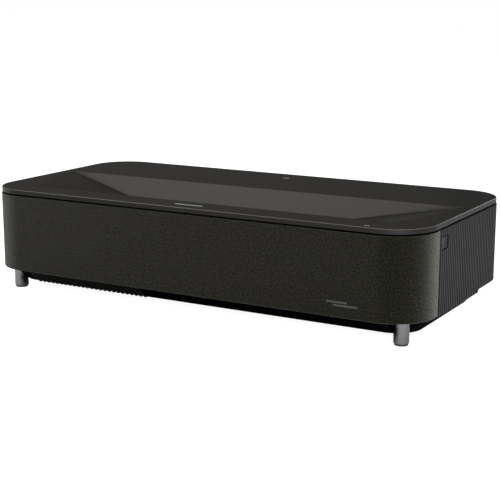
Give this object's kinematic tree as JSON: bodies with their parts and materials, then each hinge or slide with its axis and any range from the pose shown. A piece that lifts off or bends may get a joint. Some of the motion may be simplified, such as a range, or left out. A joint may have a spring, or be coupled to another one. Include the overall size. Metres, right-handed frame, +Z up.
{
  "type": "home projector",
  "caption": "Wide low ultra-short-throw laser projector with a fabric front, ribbed sides, a faceted light recess in its top and screw-adjusted front feet.",
  "frame": {"origin": "middle of the footprint, on the surface the projector stands on", "axes": "+X to the right seen from the fabric front, -Y to the front, +Y to the wall, +Z up"},
  "size_m": [0.695, 0.336, 0.155],
  "materials": {
    "case_black": "moulded, fine texture",
    "cover_satin": "satin metallic paint",
    "ramp_satin": "satin metallic paint, lighter",
    "shutter_satin": "satin",
    "louvre_grey": "satin, ribbed",
    "rear_grey": "fine texture",
    "grille_fabric": "fine woven, olive charcoal",
    "inlay_metal": "satin",
    "lens_clear": "smoked, glossy",
    "window_glass": "polished, coated",
    "mirror": "polished",
    "foot_metal": "satin turned",
    "steel": "plain",
    "aluminium": "plain",
    "cast_alloy": "die cast",
    "wheel_metal": "polished with phosphor ring",
    "brass": "plain",
    "copper": "copper pipe",
    "rubber": "moulded",
    "gear_nylon": "moulded",
    "fan_plastic": "moulded",
    "cone_paper": "pressed fibre",
    "filter_paper": "pleated",
    "board_green": "solder mask",
    "board_tan": "paper laminate"
  },
  "bodies": {
    "cabinet": {"lower_case": "case_black", "top_cover": "cover_satin", "ramp_panel": "ramp_satin", "window_bezel": "case_black", "left_louvre": "louvre_grey", "right_louvre": "louvre_grey", "rear_panel": "rear_grey", "status_lens": "lens_clear", "sensor_window": "lens_clear", "name_inlay": "inlay_metal", "power_switch": "steel", "foot_inserts": "brass", "rear_feet": "rubber", "base_screws": "steel", "window_frame": "case_black", "window_glass": "window_glass", "window_gasket": "rubber", "shutter_motor": "steel", "mirror_bracket": "cast_alloy", "concave_mirror": "mirror", "lens_barrel": "case_black", "front_lens": "window_glass", "focus_motor": "steel", "engine_housing": "cast_alloy", "prism_block": "window_glass", "light_panels": "board_green", "wheel_motor": "steel", "laser_bank": "brass", "laser_heatsink": "aluminium", "heat_pipes": "copper", "left_fan_frame": "case_black", "right_fan_frame": "case_black", "laser_fan_frame": "case_black", "speaker_boxes": "case_black", "woofer_baskets": "steel", "tweeters": "steel", "main_board": "board_green", "power_board": "board_tan", "rear_ports": "steel", "power_inlet": "case_black"},
    "grille": {"grille_frame": "case_black", "grille_cloth": "grille_fabric", "badge_plate": "inlay_metal"},
    "power_button": {"power_button": "louvre_grey"},
    "left_foot": {"left_foot_leg": "foot_metal", "left_foot_pad": "rubber"},
    "right_foot": {"right_foot_leg": "foot_metal", "right_foot_pad": "rubber"},
    "intake_cover": {"intake_cover": "case_black", "air_filter": "filter_paper"},
    "shutter": {"lens_shutter": "shutter_satin"},
    "shutter_pinion": {"shutter_pinion": "gear_nylon"},
    "focus_ring": {"focus_ring": "case_black"},
    "focus_gear": {"focus_gear": "gear_nylon"},
    "phosphor_wheel": {"phosphor_wheel": "wheel_metal"},
    "left_fan": {"left_fan_rotor": "fan_plastic"},
    "right_fan": {"right_fan_rotor": "fan_plastic"},
    "laser_fan": {"laser_fan_rotor": "fan_plastic"},
    "left_cone": {"left_woofer_cone": "cone_paper"},
    "right_cone": {"right_woofer_cone": "cone_paper"}
  },
  "joints": [
    {"name": "grille_pull", "type": "slide", "parent": "cabinet", "child": "grille", "axis": [0, -1, 0], "range_m": [0, 0.012]},
    {"name": "power_press", "type": "slide", "parent": "cabinet", "child": "power_button", "axis": [-1, 0, 0], "range_m": [0, 0.0012], "stiffness_N_per_m": 800},
    {"name": "left_foot_height", "type": "slide", "parent": "cabinet", "child": "left_foot", "axis": [0, 0, -1], "range_m": [0, 0.008]},
    {"name": "right_foot_height", "type": "slide", "parent": "cabinet", "child": "right_foot", "axis": [0, 0, -1], "range_m": [0, 0.008]},
    {"name": "intake_cover_pull", "type": "slide", "parent": "cabinet", "child": "intake_cover", "axis": [0, -0.6211, -0.7837], "range_m": [0, 0.01]},
    {"name": "shutter_slide", "type": "slide", "parent": "cabinet", "child": "shutter", "axis": [0, 1, 0], "range_m": [0, 0.054]},
    {"name": "shutter_pinion_turn", "type": "hinge", "parent": "cabinet", "child": "shutter_pinion", "pos_m": [0.0975, -0.063, 0.1147], "axis": [0, 0, 1], "range_deg": [-258, 0]},
    {"name": "focus_ring_turn", "type": "hinge", "parent": "cabinet", "child": "focus_ring", "pos_m": [0, -0.0355, 0.078], "axis": [0, 1, 0], "range_deg": [-30, 30]},
    {"name": "focus_gear_turn", "type": "hinge", "parent": "cabinet", "child": "focus_gear", "pos_m": [0.039, -0.0355, 0.078], "axis": [0, 1, 0], "range_deg": [-165.5, 165.5]},
    {"name": "phosphor_wheel_spin", "type": "hinge", "parent": "cabinet", "child": "phosphor_wheel", "pos_m": [-0.092, 0.06, 0.068], "axis": [1, 0, 0], "continuous": true},
    {"name": "left_fan_spin", "type": "hinge", "parent": "cabinet", "child": "left_fan", "pos_m": [-0.3225, 0.01, 0.08], "axis": [1, 0, 0], "continuous": true},
    {"name": "right_fan_spin", "type": "hinge", "parent": "cabinet", "child": "right_fan", "pos_m": [0.3225, 0.01, 0.08], "axis": [1, 0, 0], "continuous": true},
    {"name": "laser_fan_spin", "type": "hinge", "parent": "cabinet", "child": "laser_fan", "pos_m": [-0.2455, 0.06, 0.074], "axis": [1, 0, 0], "continuous": true},
    {"name": "left_cone_stroke", "type": "slide", "parent": "cabinet", "child": "left_cone", "axis": [0, -1, 0], "range_m": [-0.0012, 0.0012], "stiffness_N_per_m": 1200},
    {"name": "right_cone_stroke", "type": "slide", "parent": "cabinet", "child": "right_cone", "axis": [0, -1, 0], "range_m": [-0.0012, 0.0012], "stiffness_N_per_m": 1200}
  ],
  "couplings": [
    {"joint": "shutter_pinion_turn", "follows": "shutter_slide", "rad_per_m": -83.333},
    {"joint": "focus_gear_turn", "follows": "focus_ring_turn", "ratio": -5.5}
  ]
}
